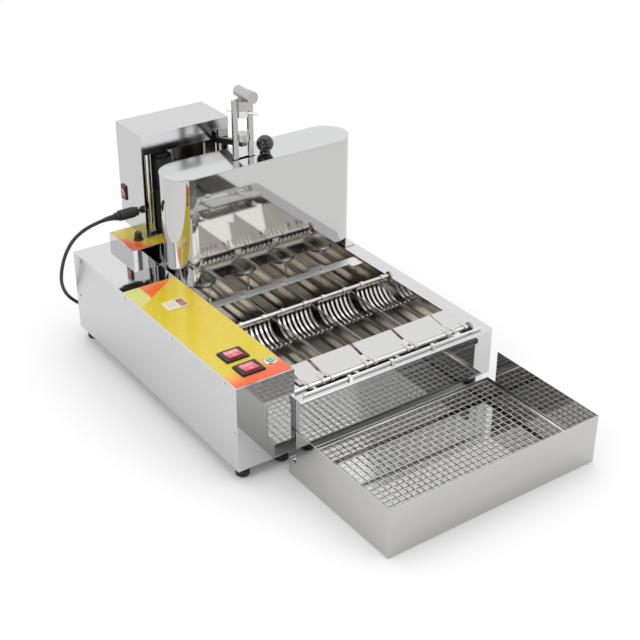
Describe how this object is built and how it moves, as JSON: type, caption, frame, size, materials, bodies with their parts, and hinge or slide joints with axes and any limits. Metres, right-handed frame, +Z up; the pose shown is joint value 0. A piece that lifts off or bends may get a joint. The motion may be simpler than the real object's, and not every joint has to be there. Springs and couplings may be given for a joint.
{
  "type": "donut maker",
  "caption": "Table-top doughnut maker: hopper with lifting plungers over an oil tank with lanes, turning combs and tipping plates, control box at the side, mesh over a drip tray in front.",
  "frame": {"origin": "centre of the bounding box's bottom, on the table, without the head's cable", "axes": "+Z up, -Y towards the drip tray at the outlet end, -X towards the control box"},
  "size_m": [0.657, 1.0739, 0.5883],
  "materials": {
    "satin_steel": "satin",
    "polished_steel": "mirror polished",
    "chrome": "bright",
    "yellow_overlay": "printed film, bare",
    "ivory_plastic": "satin",
    "dark_display": "gloss",
    "black_plastic": "satin",
    "red_plastic": "gloss",
    "green_plastic": "gloss",
    "black_rubber": "matte",
    "cable_jacket": "satin",
    "dark_metal": "satin",
    "heater_metal": "dark",
    "brass": "satin"
  },
  "bodies": {
    "base": {"control_box_shell": "satin_steel", "control_box_base": "satin_steel", "control_panel": "yellow_overlay", "controller_case": "ivory_plastic", "controller_display": "dark_display", "panel_switch_frames": "black_plastic", "drive_motors": "dark_metal", "cable_glands": "black_plastic", "cable_connector": "black_plastic", "head_cable": "cable_jacket", "start_button_ring": "chrome", "terminal_block": "ivory_plastic", "feet": "black_rubber", "tank_jacket": "satin_steel", "tank_rim": "satin_steel", "oil_vat": "satin_steel", "guide_rail": "chrome", "lane_dividers": "satin_steel", "divider_clamp": "satin_steel", "heating_element": "heater_metal", "oil_probe": "brass", "shaft_bearings": "brass", "deck": "satin_steel", "deck_panel": "yellow_overlay", "speed_potentiometer": "dark_metal", "head_housing": "satin_steel", "head_top_cover": "satin_steel", "head_front_plate": "polished_steel", "head_columns": "chrome", "head_motor": "dark_metal", "lever_bracket": "satin_steel", "head_switch_frame": "black_plastic", "head_gland": "black_plastic", "hopper_cradle": "satin_steel", "hopper_body": "polished_steel", "dough_nozzles": "polished_steel", "screws": "chrome"},
    "turning_comb": {"comb_shaft": "chrome", "turning_combs": "chrome"},
    "discharge_row": {"discharge_shaft": "chrome", "discharge_plates": "satin_steel"},
    "lid": {"hopper_lid": "polished_steel", "lid_knob": "black_plastic"},
    "plunger_yoke": {"yoke_posts": "satin_steel", "cross_blocks": "satin_steel", "adjusting_nut": "chrome", "cross_pin": "chrome", "yoke_roller": "satin_steel", "plungers": "polished_steel"},
    "lever": {"lift_lever": "dark_metal"},
    "rod": {"connecting_rod": "satin_steel"},
    "crank": {"crank_disc": "satin_steel"},
    "power_switch": {"power_rocker": "red_plastic"},
    "heat_switch": {"heat_rocker": "red_plastic"},
    "head_switch": {"head_rocker": "red_plastic"},
    "start_button": {"start_button_cap": "green_plastic"},
    "speed_dial": {"speed_knob": "black_plastic"},
    "tray": {"drip_tray": "satin_steel", "tray_ledges": "satin_steel"},
    "mesh": {"mesh_grid": "chrome"}
  },
  "joints": [
    {"name": "comb_turn", "type": "hinge", "parent": "base", "child": "turning_comb", "pos_m": [0.0643, 0.101, 0.15], "axis": [-1, 0, 0], "range_deg": [0, 155]},
    {"name": "discharge_tip", "type": "hinge", "parent": "base", "child": "discharge_row", "pos_m": [0.0643, -0.173, 0.1485], "axis": [1, 0, 0], "range_deg": [0, 110]},
    {"name": "lid_lift", "type": "slide", "parent": "base", "child": "lid", "axis": [0, 0, 1], "range_m": [0, 0.008]},
    {"name": "yoke_lift", "type": "slide", "parent": "base", "child": "plunger_yoke", "axis": [0, 0, 1], "range_m": [0, 0.022]},
    {"name": "lever_swing", "type": "hinge", "parent": "base", "child": "lever", "pos_m": [0.0158, 0.505, 0.40895], "axis": [-1, 0, 0], "range_deg": [0, 6.5]},
    {"name": "rod_swing", "type": "hinge", "parent": "lever", "child": "rod", "pos_m": [0.0073, 0.455, 0.42145], "axis": [1, 0, 0], "range_deg": [0, 6.5]},
    {"name": "crank_turn", "type": "hinge", "parent": "base", "child": "crank", "pos_m": [-0.0102, 0.455, 0.301], "axis": [1, 0, 0], "continuous": true},
    {"name": "power_rocker_press", "type": "hinge", "parent": "base", "child": "power_switch", "pos_m": [-0.2532, -0.141, 0.2136], "axis": [1, 0, 0], "range_deg": [0, 12]},
    {"name": "heat_rocker_press", "type": "hinge", "parent": "base", "child": "heat_switch", "pos_m": [-0.2532, -0.084, 0.2136], "axis": [1, 0, 0], "range_deg": [0, 12]},
    {"name": "head_rocker_press", "type": "hinge", "parent": "base", "child": "head_switch", "pos_m": [-0.1682, 0.509, 0.316], "axis": [0, 1, 0], "range_deg": [0, 12]},
    {"name": "start_button_press", "type": "slide", "parent": "base", "child": "start_button", "axis": [0, 0, -1], "range_m": [0, 0.0025], "stiffness_N_per_m": 400},
    {"name": "speed_knob_turn", "type": "hinge", "parent": "base", "child": "speed_dial", "pos_m": [-0.1872, 0.418, 0.245], "axis": [0, 0, 1], "range_deg": [-150, 150]},
    {"name": "tray_pull", "type": "slide", "parent": "base", "child": "tray", "axis": [0, -1, 0], "range_m": [0, 0.15]},
    {"name": "mesh_lift", "type": "slide", "parent": "tray", "child": "mesh", "axis": [0, 0, 1], "range_m": [0, 0.06]}
  ],
  "couplings": [
    {"joint": "lever_swing", "follows": "yoke_lift", "rad_per_m": 4.7847},
    {"joint": "rod_swing", "follows": "yoke_lift", "rad_per_m": 4.7847}
  ]
}
